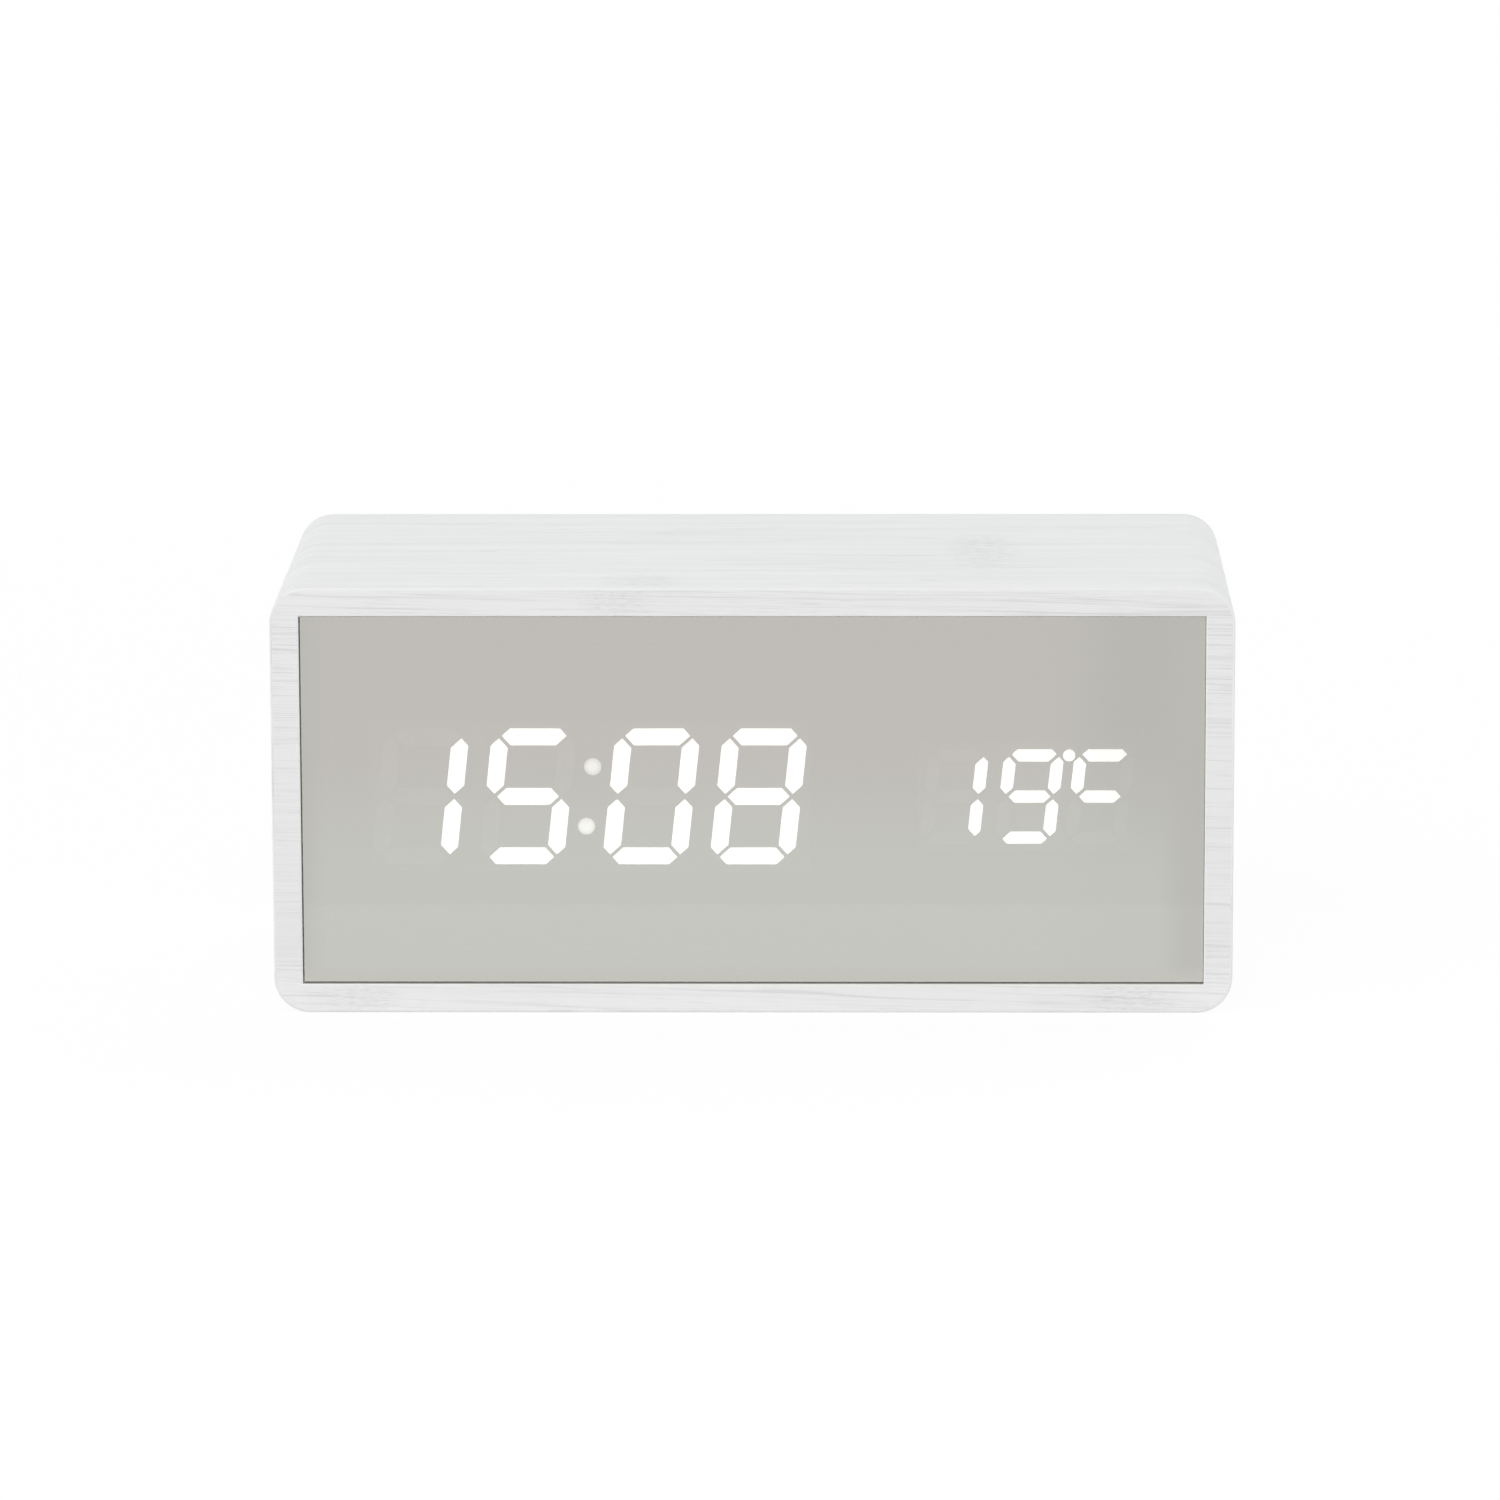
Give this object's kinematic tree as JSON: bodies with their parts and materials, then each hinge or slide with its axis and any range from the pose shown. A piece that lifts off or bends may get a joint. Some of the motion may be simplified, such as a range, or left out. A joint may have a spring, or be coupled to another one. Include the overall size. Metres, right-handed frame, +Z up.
{
  "type": "mirror alarm clock",
  "caption": "Rounded box clock in pale wood veneer with a mirror front over lit time and temperature digits, and buttons and a battery door at the rear.",
  "frame": {"origin": "centre of the base, on the surface that the clock stands on", "axes": "+Z up, the mirror faces -Y, +X is to the right of someone who reads the digits"},
  "size_m": [0.15, 0.07, 0.0675],
  "materials": {
    "washed_veneer": "pale whitewashed grain, satin",
    "fibre_board": "raw fibre board",
    "block_wood": "raw softwood",
    "half_mirror": "half-silvered acrylic",
    "tape": "foam tape",
    "mask_film": "matte film",
    "chassis_plastic": "moulded",
    "housing_plastic": "moulded",
    "lit_resin": "milky resin, lit white",
    "unlit_resin": "smoked resin, not lit",
    "circuit_board": "solder mask",
    "led_ceramic": "moulded package",
    "chip_plastic": "moulded package",
    "screw_steel": "zinc plated",
    "cover_plastic": "fine moulded texture",
    "button_plastic": "satin moulded",
    "plunger_plastic": "moulded",
    "cell_steel": "plated can",
    "cell_jacket": "shrink film",
    "contact_steel": "nickel plated",
    "red_wire": "insulated wire",
    "black_wire": "insulated wire",
    "ribbon_plastic": "flat cable",
    "plug_plastic": "moulded nylon",
    "socket_plastic": "moulded",
    "pin_brass": "plated pin",
    "buzzer_plastic": "moulded can",
    "thermistor_epoxy": "dipped bead",
    "can_metal": "drawn can"
  },
  "bodies": {
    "clock": {"wrap_veneer": "washed_veneer", "front_rim_veneer": "washed_veneer", "rear_rim_veneer": "washed_veneer", "top_board": "fibre_board", "bottom_board": "fibre_board", "left_board": "fibre_board", "right_board": "fibre_board", "corner_blocks": "block_wood", "mirror_panel": "half_mirror", "panel_tape": "tape", "display_mask": "mask_film", "chassis": "chassis_plastic", "chassis_screws": "screw_steel", "time_display_housing": "housing_plastic", "time_segments_lit": "lit_resin", "time_segments_unlit": "unlit_resin", "colon_dots": "lit_resin", "temperature_display_housing": "housing_plastic", "temperature_segments_lit": "lit_resin", "temperature_segments_unlit": "unlit_resin", "degree_dot": "lit_resin", "display_board": "circuit_board", "display_screws": "screw_steel", "led_chips": "led_ceramic", "display_driver": "chip_plastic", "rear_cover": "cover_plastic", "rear_cover_screws": "screw_steel", "battery_cells": "cell_steel", "battery_cell_jackets": "cell_jacket", "battery_contact_plates": "contact_steel", "battery_springs": "contact_steel", "red_lead": "red_wire", "black_lead": "black_wire", "main_board": "circuit_board", "main_board_screws": "screw_steel", "microcontroller": "chip_plastic", "crystal": "can_metal", "capacitors": "can_metal", "buzzer": "buzzer_plastic", "thermistor": "thermistor_epoxy", "tact_switches": "chip_plastic", "coin_cell_holder": "socket_plastic", "coin_cell": "cell_steel", "power_socket": "socket_plastic", "power_socket_pin": "pin_brass", "ribbon_cable": "ribbon_plastic", "ribbon_sockets": "plug_plastic"},
    "set_button": {"set_button": "button_plastic", "set_switch_plunger": "plunger_plastic"},
    "up_button": {"up_button": "button_plastic", "up_switch_plunger": "plunger_plastic"},
    "down_button": {"down_button": "button_plastic", "down_switch_plunger": "plunger_plastic"},
    "battery_door": {"battery_door": "cover_plastic"}
  },
  "joints": [
    {"name": "set_button_press", "type": "slide", "parent": "clock", "child": "set_button", "axis": [0, -1, 0], "range_m": [0, 0.0004], "stiffness_N_per_m": 600, "springref_m": -0.0008},
    {"name": "up_button_press", "type": "slide", "parent": "clock", "child": "up_button", "axis": [0, -1, 0], "range_m": [0, 0.0004], "stiffness_N_per_m": 600, "springref_m": -0.0008},
    {"name": "down_button_press", "type": "slide", "parent": "clock", "child": "down_button", "axis": [0, -1, 0], "range_m": [0, 0.0004], "stiffness_N_per_m": 600, "springref_m": -0.0008},
    {"name": "battery_door_hinge", "type": "hinge", "parent": "clock", "child": "battery_door", "pos_m": [0.03495, 0.032, 0.01325], "axis": [-1, 0, 0], "range_deg": [0, 90]}
  ]
}
